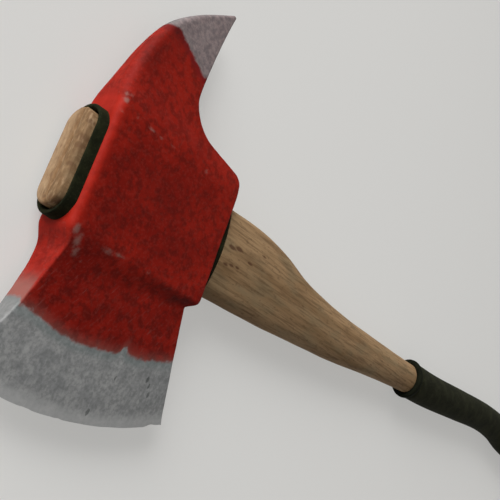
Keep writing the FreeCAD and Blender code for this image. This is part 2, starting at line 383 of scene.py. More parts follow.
def bowed(a, b, sag, steps=40):
    """From a to b with a shallow bow: the straight way plus sag times 4t(1 - t) to its left."""
    a, b = np.array(a, float), np.array(b, float)
    t = np.linspace(0, 1, steps)[:, None]
    way = (b - a) / np.linalg.norm(b - a)
    return a + (b - a) * t + np.array([-way[1], way[0]]) * sag * 4 * t * (1 - t)


def lengths(path):
    """How far along a path each of its points lies: the running sum of the steps between them."""
    steps = np.linalg.norm(np.diff(path, axis=0), axis=1)
    return np.concatenate([[0], np.cumsum(steps)])


def at_length(path, s):
    """Points at lengths s along a path."""
    return np.stack([np.interp(s, lengths(path), path[:, k]) for k in (0, 1)], -1)


def length_at(path, place):
    """How far along a path its nearest point to a place lies."""
    return lengths(path)[np.argmin(np.linalg.norm(path - np.array(place), axis=1))]


def unit(v):
    """Vectors of length 1: each vector divided by its own length."""
    return v / np.linalg.norm(v, axis=-1, keepdims=True)


def round_corner(path, corner, radius, steps=16):
    """Swaps a corner for a cubic that leaves and joins the path in the path's own directions."""
    mid = length_at(path, corner)
    before, at, after = at_length(path, np.array([mid - radius, mid, mid + radius]))
    turn = math.acos(float(np.clip(np.dot(unit(at - before), unit(after - at)), -1, 1)))
    cut = radius * math.tan(turn / 2)
    leave, join = mid - cut, mid + cut
    back, a, b, onward = at_length(path, np.array([leave - 0.5, leave, join, join + 0.5]))
    pull = 4 / 3 * math.tan(turn / 4) * radius
    a_pull, b_pull = a + unit(a - back) * pull, b - unit(onward - b) * pull
    t = np.linspace(0, 1, steps)[:, None]
    curve = a * (1 - t) ** 3 + 3 * a_pull * t * (1 - t) ** 2 + 3 * b_pull * t * t * (1 - t) + b * t ** 3
    s = lengths(path)
    return np.concatenate([path[s < leave], curve, path[s > join]])


def dense(path, step=0.4):
    """The same path with a point every so many millimetres."""
    total = lengths(path)[-1]
    return at_length(path, np.linspace(0, total, int(total / step)))


# %% The head's sizes
# A place is (X, Y). A corner is a place and the radius that rounds it.
head_height = 118.0
top, base = head_height / 2, -head_height / 2
boss_reach, boss_drop, boss_run = 37.5, 5.0, 10.5
edge_radius, edge_crest = 266.0, 11.5
edge_centre = np.array([edge_crest, head_high[1] - edge_radius])
tip = (-13.0, -160.0)
boss_foot, boss_pick = (top - boss_drop, boss_reach + boss_run), (top, -boss_reach)
blade_foot, bit_lug, lug, throat = (-51.5, 46.0), (base, 41.0), (base, -53.0), (-0.6, -64.8)
pick_back = ((57.0, -60.4), (49.4, -89.8), (37.2, -115.7), (17.4, -136.7))
flare_sag, skirt_sag, arch_sag = -3.8, 1.6, 1.6
top_corners = (((top, boss_reach), 20.0), (boss_foot, 15.0))
low_corners = ((bit_lug, 5.7), (lug, 8.5), (throat, 27.0))
print("The head is", head_height, "mm high and its edge is an arc of", edge_radius, "mm")


def on_edge(x):
    """The cutting edge's point at a height x: an arc about the edge's centre."""
    return (x, edge_centre[1] + math.sqrt(edge_radius ** 2 - (x - edge_crest) ** 2))


def smooth_table(x, table):
    """Values between a table's rows on cubics that pass through each row with its mean slope."""
    table = np.array(table, float)
    xs, ys = table[:, 0], table[:, 1:]
    near = np.arange(len(xs))
    before, after = np.maximum(near - 1, 0), np.minimum(near + 1, len(xs) - 1)
    slopes = (ys[after] - ys[before]) / (xs[after] - xs[before])[:, None]
    i = np.clip(np.searchsorted(xs, x) - 1, 0, len(xs) - 2)
    step = xs[i + 1] - xs[i]
    t = ((x - xs[i]) / step)[..., None]
    step = step[..., None]
    return (ys[i] * (1 + 2 * t) * (1 - t) ** 2 + slopes[i] * step * t * (1 - t) ** 2
            + ys[i + 1] * t * t * (3 - 2 * t) + slopes[i + 1] * step * t * t * (t - 1))


# %% The two paths
back_rows = sorted([(tip[1], tip[0]), (boss_pick[1], boss_pick[0])] + [(y, x) for x, y in pick_back])
back_y = np.linspace(boss_pick[1], tip[1], 60)
back = np.stack([smooth_table(back_y, back_rows)[:, 0], back_y], -1)
top_path = dense(np.concatenate([
    bowed(on_edge(head_high[0]), boss_foot, flare_sag),
    bowed((top, boss_reach), boss_pick, 0), back,
]))
low_path = dense(np.concatenate([
    bowed(on_edge(head_low[0]), blade_foot, skirt_sag),
    bowed(bit_lug, lug, 0), bowed(throat, tip, arch_sag),
]))
for corner, radius in top_corners:
    top_path = dense(round_corner(top_path, corner, radius))
for corner, radius in low_corners:
    low_path = dense(round_corner(low_path, corner, radius))
print("Over the top", round(lengths(top_path)[-1]), "mm, under it", round(lengths(low_path)[-1]), "mm")

# %% [markdown]
# ## How thick the head is
# The half thickness depends only on the place in the outline. Round the eye it is the full cheek. On
# the bit's side the cheek ends in a shoulder, short and steep by the haft and fading towards the top,
# and the blade is a lens that rises from the edge along a circle. On the pick's side the cheek runs
# out into a long hollow taper. A smooth maximum joins block and blade with a soft crease, and the
# same function with its signs turned rounds the cheek's ends.

# %% Half thickness
half = (head_high[2] - head_low[2]) / 2
bit_cheek = 42.0
shoulder_fall, shoulder_runs = 9.0, (6.0, 22.0)
# How many millimetres each join is rounded over, by the haft and how much more at the top.
bit_join, crease_join, pick_join = (1.8, 3.0), (2.4, 5.0), 2.4
# Each row: a place Y, and the half thickness there.
pick_taper = ((-160.0, 1.4), (-114.1, 5.5), (-66.5, 11.0), (-43.5, 17.0), (-30.0, 21.5))
# Each row: a depth from the cutting edge, and the half thickness there.
lens_rows = ((0.0, 0.4), (43.0, 8.0), (100.0, 12.8))
hammer_depth, wide_waves, small_waves = 0.33, 0.12, 0.06


def smooth(t):
    """A soft step: 0 up to 0, 1 from 1 on."""
    t = np.clip(t, 0, 1)
    return t * t * (3 - 2 * t)


def smooth_max(a, b, blend):
    """The larger of two values, with a round join where they are nearly equal."""
    near = np.clip(1 - np.abs(a - b) / blend, 0, 1)
    return np.maximum(a, b) + blend * near ** 2 / 4


def lens_half(depth):
    """Half thickness of the blade at a depth from its edge: a circle through three measured points."""
    (x1, y1), (x2, y2), (x3, y3) = lens_rows
    a = np.array([[x2 - x1, y2 - y1], [x3 - x1, y3 - y1]]) * 2
    b = np.array([x2 ** 2 - x1 ** 2 + y2 ** 2 - y1 ** 2, x3 ** 2 - x1 ** 2 + y3 ** 2 - y1 ** 2])
    cx, cy = np.linalg.solve(a, b)
    radius = math.hypot(x1 - cx, y1 - cy)
    return cy + np.sqrt(np.maximum(radius ** 2 - (depth - cx) ** 2, 0))


def edge_depth(x, y):
    """How far a place lies inside the cutting edge's arc."""
    return edge_radius - np.hypot(x - edge_centre[0], y - edge_centre[1])


def hammered(x, y):
    """How far forging and wear have drawn the faces in: a mean depth less wide and small waves."""
    wide = wide_waves * uneven(x, y, 21, 11)
    return np.maximum(hammer_depth - wide - small_waves * uneven(x, y, 8, 12), 0)


def half_thickness(x, y):
    """The larger of block (cheek, shoulder, taper) and blade (a lens), less what hammering took."""
    fade = np.clip((x - base) / (head_high[0] - base), 0, 1)
    run = shoulder_runs[0] + (shoulder_runs[1] - shoulder_runs[0]) * fade
    shoulder = half - (y - bit_cheek) * shoulder_fall / run
    taper = smooth_table(np.clip(y, pick_taper[0][0], pick_taper[-1][0]), pick_taper)[..., 0]
    cheek = np.full_like(y, -half)
    block = np.where(y > 0, -smooth_max(cheek, -shoulder, bit_join[0] + bit_join[1] * fade),
                     -smooth_max(cheek, -taper, pick_join))
    blade = np.where(y > bit_cheek - 8, lens_half(edge_depth(x, y)), 0)
    whole = smooth_max(block, blade, crease_join[0] + crease_join[1] * fade)
    return whole - hammered(x, y) * np.clip(whole / 8, 0, 1)


print("Half thickness at the edge, bevel, root:", lens_half(np.array([0.0, 43.0, 100.0])).round(2))

# %% [markdown]
# ## The head as one grid
# The head is a ring of metal round the eye, so one grid can wrap it. The stations go from the cutting
# edge over the upper cheek to the pick's tip and back under the lower cheek. At each station the rows
# run down the side, round the lower rim, in to the eye, up its wall, and out again over the top rim.
# A solid cut with Boolean modifiers would have faces too uneven to shade smoothly.

# %% Stations
# Each row: a share of the way from edge to tip, and the places on the upper and the lower path there.
station_knots = (
    (0.0, on_edge(head_high[0]), on_edge(head_low[0])),
    (0.29, boss_foot, blade_foot),
    (0.33, (top, boss_reach - 3), (base, boss_reach - 3)),
    (0.53, (top, -boss_reach + 3), (base, -boss_reach + 3)),
    (0.56, (58.0, -43.0), (base + 0.5, -47.0)),
    (0.60, (56.5, -52.0), (-54.0, -53.5)),
    (0.70, (54.0, -66.0), (-18.0, -60.0)),
    (0.77, (49.5, -84.0), (-3.5, -80.0)),
    (1.0, tip, tip),
)
stations = 236
edge_crowding = 1.25
tip_gap = 4.0
share = np.linspace(0, 1, stations) ** edge_crowding
knots, top_places, low_places = zip(*station_knots)


def laid_out(path, places, side):
    """The stations' points on a path, and unit normals there that point away from the metal."""
    knot_lengths = [length_at(path, place) for place in places]
    knot_lengths[-1] -= tip_gap
    s = np.interp(share, knots, knot_lengths)
    ahead, behind = np.minimum(s + 1, lengths(path)[-1]), np.maximum(s - 1, 0)
    way = unit(at_length(path, ahead) - at_length(path, behind))
    return at_length(path, s), np.stack([-way[..., 1], way[..., 0]], -1) * side


top_at, top_out = laid_out(top_path, top_places, 1)
low_at, low_out = laid_out(low_path, low_places, -1)
print(stations, "stations from the edge to the tip")

# %% Rims
# Radii on blade, block and pick, the ways between them, and their largest share of the thickness.
top_rims, low_rims = (1.3, 5.0, 8.0), (1.3, 2.0, 2.0)
to_blade_way, to_pick_way, rim_share = 16.0, 24.0, 0.8


def rim_radius(at, out, rims):
    """The rounding of the outline's edges on blade, block and pick, less where the metal is thin."""
    on_blade, on_block, on_pick = rims
    to_blade = smooth((at[:, 1] - boss_reach + 2) / to_blade_way)
    to_pick = smooth((-at[:, 1] - boss_reach) / to_pick_way)
    wanted = on_block + (on_blade - on_block) * to_blade + (on_pick - on_block) * to_pick
    inside = at - out * wanted[:, None]
    return np.minimum(wanted, half_thickness(inside[:, 0], inside[:, 1]) * rim_share)


top_rim, low_rim = rim_radius(top_at, top_out, top_rims), rim_radius(low_at, low_out, low_rims)
rim_rows, face_rows, wall_rows, side_rows = 8, 26, 5, 92
print("The top's rims are rounded by", top_rim.min().round(2), "to", top_rim.max().round(2), "mm")

# %% The sides
# Rows run straight from the upper to the lower path, and on the blade round the edge's own centre.
blade_share = smooth((top_at[:, 1] - boss_reach) / 12)
s = np.linspace(0, 1, side_rows)[None, :, None]
start = (top_at - top_out * top_rim[:, None])[:, None, :]
end = (low_at - low_out * low_rim[:, None])[:, None, :]
straight = start * (1 - s) + end * s
polar = [np.stack([np.hypot(*(p - edge_centre).T), np.arctan2(*(p - edge_centre).T)], -1) for p in
         (start[:, 0], end[:, 0])]
turned = polar[0][:, None, :] * (1 - s) + polar[1][:, None, :] * s
curved = edge_centre + turned[..., :1] * np.stack([np.sin(turned[..., 1]), np.cos(turned[..., 1])], -1)
side_plan = straight + (curved - straight) * blade_share[:, None, None]
side_z = half_thickness(side_plan[..., 0], side_plan[..., 1])
print("Half thickness on the sides:", side_z.min().round(2), "to", side_z.max().round(2), "mm")

# %% Nicks
nick_count, nick_depth = 26, 0.75
dull_depth, dull_waves, worn_reach = 0.25, 34, 1.5


def nicks(x, seed=5):
    """Little bites out of the cutting edge: narrow bells at random places with random depths."""
    rng = np.random.default_rng(seed)
    places = rng.uniform(head_low[0], head_high[0], nick_count)
    depths = nick_depth * rng.uniform(0.1, 1, nick_count) ** 3
    widths = rng.uniform(1.2, 3.5, nick_count)
    return (depths * np.exp(-((x[..., None] - places) / widths) ** 2)).sum(-1)


def worn(plan):
    """Moves the cutting edge in by its nicks and dull stretches, and less the deeper a place lies."""
    x, y = plan[..., 0], plan[..., 1]
    near_edge = np.exp(-np.maximum(edge_depth(x, y), 0) / worn_reach)
    bite = (nicks(x) + dull_depth * np.abs(uneven(x, y, dull_waves, 3))) * near_edge
    return plan - unit(plan - edge_centre) * bite[..., None]


print("The deepest nick is", nicks(np.linspace(head_low[0], head_high[0], 500)).max().round(2), "mm")

# %% Rims, end faces and the eye
# Each size: the eye's length and width, at the head's top and at its underside.
eye_top, eye_low = (65.0, 25.0), (63.0, 23.0)


def rim_points(at, out, radius, angle):
    """A quarter circle from the side face over to the end face."""
    plan = at - out * (radius * (1 - np.sin(angle)))[:, None]
    inside = at - out * radius[:, None]
    z = half_thickness(inside[:, 0], inside[:, 1]) - radius * (1 - np.cos(angle))
    return plan, z


def eye_point(at_y, size):
    """The eye's rim that a station looks at: the flat-sided oval's own half width there."""
    length, width = size
    reach = length / 2
    y = np.interp(at_y, [tip[1], -boss_reach, boss_reach, head_high[1]],
                  [-reach, -reach + 2, reach - 2, reach])
    past = np.clip((np.abs(y) - (length - width) / 2) / (width / 2), 0, 1)
    return y, width / 2 * np.sqrt(1 - past ** 2)


def end_face(path, at, z, size, t):
    """From the rim in to the eye: straight in Y and Z, while X stays on the outline."""
    eye_y, eye_z = eye_point(at[:, 1], size)
    y = at[:, 1] * (1 - t) + eye_y * t
    x = np.interp(-y, -path[:, 1], path[:, 0])
    return np.stack([x, y], -1), z * (1 - t) + eye_z * t


# %% All rows of the upper half
rows = []
side_plan = worn(side_plan)
rows += [(side_plan[:, k], side_z[:, k]) for k in range(side_rows)]
angles = np.linspace(0, np.pi / 2, rim_rows)
rows += [rim_points(low_at, low_out, low_rim, a) for a in angles[1:]]
low_edge = rim_points(low_at, low_out, low_rim, np.pi / 2)[1]
inward = 1 - np.linspace(1, 0, face_rows) ** 2
rows += [end_face(low_path, low_at, low_edge, eye_low, t) for t in inward[1:]]
top_edge = rim_points(top_at, top_out, top_rim, np.pi / 2)[1]
inner_low, inner_top = rows[-1], end_face(top_path, top_at, top_edge, eye_top, 1.0)
for t in np.linspace(0, 1, wall_rows)[1:-1]:
    rows.append(tuple(a * (1 - t) + b * t for a, b in zip(inner_low, inner_top)))
rows += [end_face(top_path, top_at, top_edge, eye_top, t) for t in inward[::-1]]
rows += [rim_points(top_at, top_out, top_rim, a) for a in angles[::-1][1:-1]]
plan = np.stack([r[0] for r in rows], 1)
height = np.stack([r[1] for r in rows], 1)
print("The head's grid has", 2 * stations, "by", len(rows), "points")

# %% [markdown]
# The head's finish needs to know how deep a place lies in the bare zone by the cutting edge or the
# tip, how far the paint has faded towards it, and how far away a rim, the boss's crown and the edge
# are; the crown's distance places painted light. These are worked out from the same points and kept
# on the mesh as named numbers, in millimetres. Two more, from 0 to about 1, say where the paint is
# scuffed pale and where it is darker: with soot in small marks, and as painted shade in the crease
# and on the pick's back.

# %% Traits for the paint
# Each row: a place X, and how deep the bare steel reaches there from the cutting edge, or its place
# -Y on the pick. On the blade's narrow sides the paint ends and fades further from the edge.
paint_line = ((-61.0, 43.2), (-41.5, 44.3), (-30.5, 44.2), (-24.2, 45.6), (-20.9, 46.4), (-19.6, 49.8),
              (-16.8, 49.8), (-15.4, 46.4), (-10.4, 44.6), (5.7, 44.6), (20.7, 43.1), (36.8, 44.0),
              (53.3, 45.7), (62.0, 44.3))
strip_bare, strip_faded = 4.0, 11.0
pick_line = ((0.5, 99.0), (6.2, 100.9), (16.7, 106.6), (27.1, 111.4), (31.9, 114.2), (39.5, 112.3))


def marked(plan, marks):
    """The strongest of some soft oval marks."""
    x, y, reach_x, reach_y, strength = np.array(marks).T[..., None, None]
    bells = np.exp(-((plan[..., 0] - x) / reach_x) ** 2 - ((plan[..., 1] - y) / reach_y) ** 2)
    return (strength * bells).max(0)


def strewn(seed, count, reach):
    """Marks at random places on the other cheek, mostly along its two edges."""
    rng = np.random.default_rng(seed)
    at_edges = rng.uniform(size=count) < 0.6
    y = np.where(at_edges, rng.choice((-41.0, 41.0), count), rng.uniform(-60, 80, count))
    sizes = reach * rng.uniform(0.4, 1.2, (2, count))
    return np.stack([rng.uniform(-50, 50, count), y, *sizes, rng.uniform(0.4, 1, count)], -1)


# Each row: the place X and Y of a mark, its reach along X and Y, and its strength.
scuff_marks = (
    (55.4, -43.6, 1.9, 2.4, 1.2), (55.9, -47.6, 1.3, 2.4, 0.9), (55.7, -35.9, 2.2, 1.0, 0.7),
    (44.6, -38.5, 1.8, 1.2, 0.7), (52.6, -48.6, 1.4, 2.6, 0.75),
    (31.5, -38.3, 3.8, 1.5, 0.9), (22.5, -37.9, 2.6, 1.3, 0.8), (11.5, -38.8, 3.0, 1.6, 0.6),
    (-22.4, -39.2, 2.2, 3.2, 0.7), (53.5, 38.4, 2.6, 4.4, 1.0), (49.4, 43.6, 3.0, 5.6, 0.95),
    (46.8, 49.4, 2.4, 4.4, 0.9), (28.0, 40.4, 6.4, 2.2, 0.85), (19.1, 39.3, 5.6, 1.7, 0.8),
    (-6.6, 39.5, 2.6, 1.6, 0.8), (40.5, 52.7, 1.4, 1.4, 0.8), (-38.0, 47.0, 2.0, 1.2, 0.6),
)
# Darker marks: the small ones are soot; those along the crease by the haft and on the pick's back are
# painted shade, and the broad soft ones darken the cheek and the blade.
soot_and_shade_marks = (
    (-13.0, 42.5, 6.0, 2.4, 0.6), (-31.0, 42.5, 8.0, 2.8, 0.85), (-47.0, 43.0, 8.0, 3.0, 0.9),
    (15.1, 8.3, 1.6, 1.6, 1.0), (-6.1, 26.6, 2.4, 1.6, 1.0), (-58.0, 40.0, 3.5, 6.0, 0.7),
    (33.0, -113.0, 10.0, 16.0, 0.95), (48.0, -88.0, 8.0, 14.0, 0.6),
    (8.0, -6.0, 30.0, 15.0, 0.42), (-22.0, 16.0, 18.0, 12.0, 0.3), (16.0, 62.0, 26.0, 9.0, 0.15),
    (-14.0, 66.0, 16.0, 10.0, 0.2), (34.0, 24.0, 12.0, 14.0, 0.3), (-40.0, 45.0, 10.0, 2.2, 1.0),
)


def head_traits(plan, height):
    """Millimetres past the paint's edge, past its fading, and from rim, crown and cutting edge."""
    x, y = plan[..., 0], plan[..., 1]
    row = np.arange(plan.shape[1])
    last = side_rows + rim_rows - 1
    flat = (row > last) & (row < plan.shape[1] - rim_rows + 1)
    over = np.clip(np.minimum(row - side_rows + 1, plan.shape[1] - row) / rim_rows, 0, 1)
    by_edge = np.interp(x, *np.array(paint_line).T) + strip_bare * over - edge_depth(x, y)
    bare = np.maximum(by_edge, -y - np.interp(x, *np.array(pick_line).T))
    to_top = np.linalg.norm(plan - top_at[:, None], axis=-1)
    to_low = np.linalg.norm(plan - low_at[:, None], axis=-1)
    face_z = np.maximum(top_edge, low_edge)[:, None] - height
    rim = np.where(flat, face_z, np.minimum(to_top, to_low))
    faded = bare + strip_faded * over * (y > 0)
    crown = np.where(flat, 0.0, to_top) + np.maximum(np.abs(y + 3) - boss_reach, 0)
    return {"bare": bare, "faded": faded, "rim": np.abs(rim), "crown": crown, "edge": edge_depth(x, y)}


# %% Building the head
upper = np.concatenate([plan, (middle + height)[..., None]], -1)
lower = np.concatenate([plan, (middle - height)[..., None]], -1)[::-1]
traits = {k: np.concatenate([v, v[::-1]]) for k, v in head_traits(plan, height).items()}
for key, marks, hidden in (("scuff", scuff_marks, strewn(31, 14, 3.5)),
                           ("soot_and_shade", soot_and_shade_marks, strewn(32, 9, 7.0))):
    traits[key] = np.concatenate([marked(plan, marks), marked(plan, hidden)[::-1]])
head_grid = np.concatenate([upper, lower])
axe_head = make_piece("axe_head_forged", [head_grid], 50.0, traits, True)

# %% [markdown]
# ## Rings along the haft
# Haft, sleeve, wedge and grip are all rings carried along X. A ring is an oval of four arcs: two large
# ones for its broad sides and two small ones for its narrow ends, all meeting without a corner. With
# end arcs as large as half the thickness, the same formula gives a flat-sided oval with round ends.
# A bevelled curve could carry one section along, but here each ring has its own width and thickness.

# %% The oval ring
quarter = 12
flat_sided = 0.995


def oval_rings(x, width, thickness, shift=0.0, end_share=0.82):
    """Rings of points at places x: small arcs about the two ends, large arcs tangent to them."""
    x, width, thickness, shift = np.broadcast_arrays(*(np.atleast_1d(np.asarray(v, float)) for v in
                                                       (x, width, thickness, shift)))
    a, b = width[:, None] / 2, thickness[:, None] / 2
    r = np.minimum(end_share * b, a - 0.001)
    big = ((a - r) ** 2 + b ** 2 - r ** 2) / (2 * np.maximum(b - r, 1e-6))
    join = np.pi / 2 - np.arcsin(np.clip((a - r) / (big - r), 0, 1))
    t = np.linspace(0, 1, quarter, endpoint=False)[None, :]
    small_turn, big_turn = join * t, join + (np.pi / 2 - join) * t
    y = np.concatenate([a - r + r * np.cos(small_turn), big * np.cos(big_turn)], 1)
    z = np.concatenate([r * np.sin(small_turn), b - big + big * np.sin(big_turn)], 1)
    peak = np.stack([np.zeros_like(b), b], -1)[:, 0]
    y = np.concatenate([y, peak[:, :1], -y[:, :0:-1], -y, -peak[:, :1], y[:, :0:-1]], 1)
    z = np.concatenate([z, peak[:, 1:], z[:, :0:-1], -z, -peak[:, 1:], -z[:, :0:-1]], 1)
    return np.stack([np.broadcast_to(x[:, None], y.shape), y + shift[:, None], middle + z], -1)


# %% [markdown]
# ## The haft
# A haft is shaped by eye, so its form is a table: down from the shoulder under the head, how wide and
# thick it is and how far it bows towards the pick. Smooth cubics run between the rows. Above the
# shoulder its sawn tongue fills the sleeve, with a wedge driven into the saw cut.

# %% The haft's form
shoulder_x = sleeve_low[0]
haft_foot = haft_low[0]
haft_length = shoulder_x - haft_foot
shoulder_width, shoulder_thickness, haft_bow = 67.0, 28.5, 20.5
# Each row: a share of the length down, and shares of the shoulder's width and thickness and the bow.
haft_shares = (
    (0.000, 1.000, 1.000, 0.09), (0.057, 1.000, 1.000, 0.16), (0.104, 0.930, 0.985, 0.10),
    (0.146, 0.800, 0.965, -0.03), (0.198, 0.700, 0.940, -0.08), (0.255, 0.630, 0.900, -0.06),
    (0.340, 0.535, 0.850, 0.10), (0.434, 0.465, 0.810, 0.26), (0.528, 0.445, 0.800, 0.38),
    (0.642, 0.440, 0.800, 0.70), (0.755, 0.430, 0.810, 1.00), (0.830, 0.460, 0.850, 0.97),
    (0.887, 0.510, 0.885, 0.72), (0.960, 0.540, 0.875, 0.52), (1.000, 0.530, 0.860, 0.37),
)


def haft_rings(x, wall=0.0):
    """The haft's ovals at places x, grown all round by a wall."""
    width, thickness, bow = smooth_table(np.clip((shoulder_x - x) / haft_length, 0, 1), haft_shares).T
    return oval_rings(x, width * shoulder_width + 2 * wall, thickness * shoulder_thickness + 2 * wall,
                      -bow * haft_bow)


def shut(ring, way, radius=0.0):
    """Rings that close an end: each a step further from the ring to its middle line."""
    centre = ring.mean(0)
    spine = ring * 1.0
    spine[:, 2] = centre[2]
    reach = np.ptp(ring[:, 1]) * 0.3
    spine[:, 1] = np.clip(ring[:, 1], centre[1] - reach, centre[1] + reach)
    steps = np.linspace(0, 1, 9)[1:, None, None]
    rings = ring * (1 - steps) + spine * steps
    rings[..., 0] += way * radius * np.sin(steps[..., 0] * np.pi / 2)
    return rings


def closed(rings, way, bulge=0.0):
    """Rings that run one way along X, with both ends shut and the last one bulging."""
    return np.concatenate([shut(rings[0], -way)[::-1], rings, shut(rings[-1], way, bulge)])


# %% The tongue's end
eye_taper, sleeve_wall = 2.0, 1.2
end_radius, dome = 2.0, 0.5
wedge_thickness, kerf_width, wedge_depth, seam = 4.8, 1.2, 59.0, 0.18
haft_top = haft_high[0]


def tongue_rings(x, inset=0.0, wall=sleeve_wall):
    """The wood in the eye: the eye's own flat-sided oval less the rubber's wall."""
    grow = eye_taper * (np.array(x) - base) / head_height - 2 * (wall + inset)
    return oval_rings(x, eye_low[0] + grow, eye_low[1] + grow, 0.0, flat_sided)


def wedge_half(x):
    """Half the wedge's thickness, which grows evenly from the saw cut's to the full at its head."""
    reach = np.clip((x - (haft_top - wedge_depth)) / wedge_depth, 0, 1)
    return (kerf_width + (wedge_thickness - kerf_width) * reach) / 2


def prong(sign, x, inset):
    """One side of the sawn tongue: the oval's half that lies on its own side of the wedge."""
    rings = tongue_rings(x, inset)
    z = np.maximum(sign * (rings[..., 2] - middle), (wedge_half(x) + seam)[:, None])
    return np.stack([rings[..., 0], rings[..., 1], middle + sign * z], -1)


def domed(x, steps=5):
    """Places along X, then more that round the end off in a quarter circle, and their insets."""
    turn = np.linspace(0, np.pi / 2, steps)[1:]
    return (np.concatenate([x, haft_top - dome - end_radius * (1 - np.sin(turn))]),
            np.concatenate([np.zeros(len(x)), end_radius * (1 - np.cos(turn))]))


end_x, end_inset = domed(np.array([haft_top - wedge_depth, haft_top - 20, haft_top - 6]))
print("The wedge grows from", *(2 * wedge_half(end_x[[0, -1]])).round(2), "mm thick")

# %% Building the haft
# The dents are drawn out along the haft: Y and Z count two and three times in their waves.
dent_depth, side_dents = 0.22, 0.4
body_x = np.linspace(shoulder_x, haft_foot, 150)
body = haft_rings(body_x)
dents = dent_depth * uneven(body[..., 0], body[..., 1] * 2 + body[..., 2] * 3, 46, 21)
body[..., 2] += (body[..., 2] - middle) / shoulder_thickness * dents
body[..., 1] += np.sign(body[..., 1]) * dents * side_dents
stub = tongue_rings([haft_top - wedge_depth + 20, shoulder_x])
shell = closed(np.concatenate([stub, body]), -1)
prongs = [closed(prong(sign, end_x, end_inset), 1, dome) for sign in (1, -1)]
haft = make_piece("haft_wood", [shell] + prongs, 45.0)

# %% The wedge
wedge_rings = tongue_rings(end_x, end_inset)
wedge_face = wedge_half(end_x)[:, None]
wedge_rings[..., 2] = middle + np.clip(wedge_rings[..., 2] - middle, -wedge_face, wedge_face)
wedge = make_piece("wedge_wood", [closed(wedge_rings, 1, dome * 0.8)], 45.0)

# %% [markdown]
# ## The rubber sleeve
# The sleeve is a moulding: a lip that stands on the head round the wood, a thin wall down the eye, and
# a collar under the head. A Solidify modifier could give a sheet one thickness, but this section
# changes all the way, so it is a list of places, with a ring of the right size at each of them.

# %% The sleeve
lip_length, lip_width = 72.2, 27.6
# Each row: a share of the way from the wood to the lip's outside, and a height above the head.
lip_profile = ((0.0, -3.0), (0.0, 3.4), (0.10, 3.2), (0.22, 4.4), (0.36, 6.3), (0.52, 7.0), (0.72, 7.2),
               (0.86, 7.0), (0.95, 6.4), (0.99, 5.4), (1.0, 3.0), (1.05, -0.4))
wood_top = tongue_rings(top)[0]
wood_size = np.ptp(wood_top[:, 1]), np.ptp(wood_top[:, 2])
lip_share, lip_rise = np.array(lip_profile).T
lip = oval_rings(top + lip_rise, wood_size[0] + (lip_length - wood_size[0]) * lip_share,
                 wood_size[1] + (lip_width - wood_size[1]) * lip_share, 0.0, flat_sided)
tube = tongue_rings([top, base], 0.0, 0.0)
collar_round = 1.0
collar_x = np.array([
    base, base - 0.3, shoulder_x + collar_round, shoulder_x + 0.3, shoulder_x, shoulder_x])
collar_wall = np.array([-0.2, 0.0, 0.0, -0.2, -0.9, -2.4])
collar = haft_rings(np.full(6, shoulder_x), collar_wall)
collar[..., 0] = collar_x[:, None]
inner = tongue_rings([shoulder_x, top - 3.0])
sleeve_grid = np.concatenate([lip, tube, collar, inner])
sleeve = make_piece("sleeve_rubber", [sleeve_grid], 35.0, None, True)

# %% [markdown]
# ## The grip
# The boot is the haft's own ovals grown by the rubber's wall, with a bead and a groove at its mouth
# and a closed foot. The haft's mesh pushed outwards would have no shape at its mouth and foot.

# %% The grip
mouth_x = grip_high[0]
grip_foot = grip_low[0]
grip_wall, foot_round, floor_gap = 4.3, 3.0, 0.02
# Each row: how far below the mouth a ring lies, and the rubber's wall there.
mouth_profile = (
    (14.0, -0.2), (1.2, 0.0), (0.5, 0.5), (0.1, 1.8), (0.0, 3.2), (0.2, 4.4), (0.7, 5.1), (1.6, 5.5),
    (3.6, 5.6), (5.4, 5.4), (6.4, 4.9), (6.9, 4.2), (7.4, 3.6), (9.5, 3.45), (11.4, 3.6),
    (12.2, 4.1), (13.4, 4.3),
)
mouth_drop, mouth_wall = np.array(mouth_profile).T
boot_x = np.linspace(mouth_x - 16, grip_foot + foot_round, 110)
boot_wall = np.full(len(boot_x), grip_wall)
foot_turn = np.linspace(0, np.pi / 2, 5)[1:]
foot_x = grip_foot + foot_round * (1 - np.sin(foot_turn))
foot_wall = grip_wall - foot_round * (1 - np.cos(foot_turn))
grip_x = np.concatenate([mouth_x - mouth_drop, boot_x, foot_x])
boot = haft_rings(grip_x, np.concatenate([mouth_wall, boot_wall, foot_wall]))
boot[..., 2] = np.clip(boot[..., 2], grip_low[2] + floor_gap, grip_high[2] - floor_gap)
grip = make_piece("grip_rubber", [closed(boot, -1)], 50.0)

# %% [markdown]
# ## Painted and ground steel
# The head's red paint is darker in the crease, where the shade is painted, paler where hands and racks
# rub it, chipped along its rims, and ground away by the cutting edge and on the pick's tip. Light is
# painted on its top faces, brighter by the boss's crown, and shade on the bare steel there. A painted
# image could show all this, but it would need the head unwrapped and would blur close up. Instead one
# graph makes the red and one the bare steel, and the numbers kept on the mesh say where one gives way
# to the other.

# %% The head's finish
paint = Graph(bpy.data.materials.new("worn_red_paint"))
cloud, mottle, grit = paint.noise(28, 3), paint.noise(5.6, 3), paint.noise(1.8, 1, 0.5)
# The ember noise is so drawn out that it only drifts slowly over the head.
ember = paint.noise(4.2, 3, 0.55, paint.stretched(1000, 1150, 1000, (0.4, 0.0, 0.9)))
normal = paint.add("NewGeometry").outputs["Normal"]
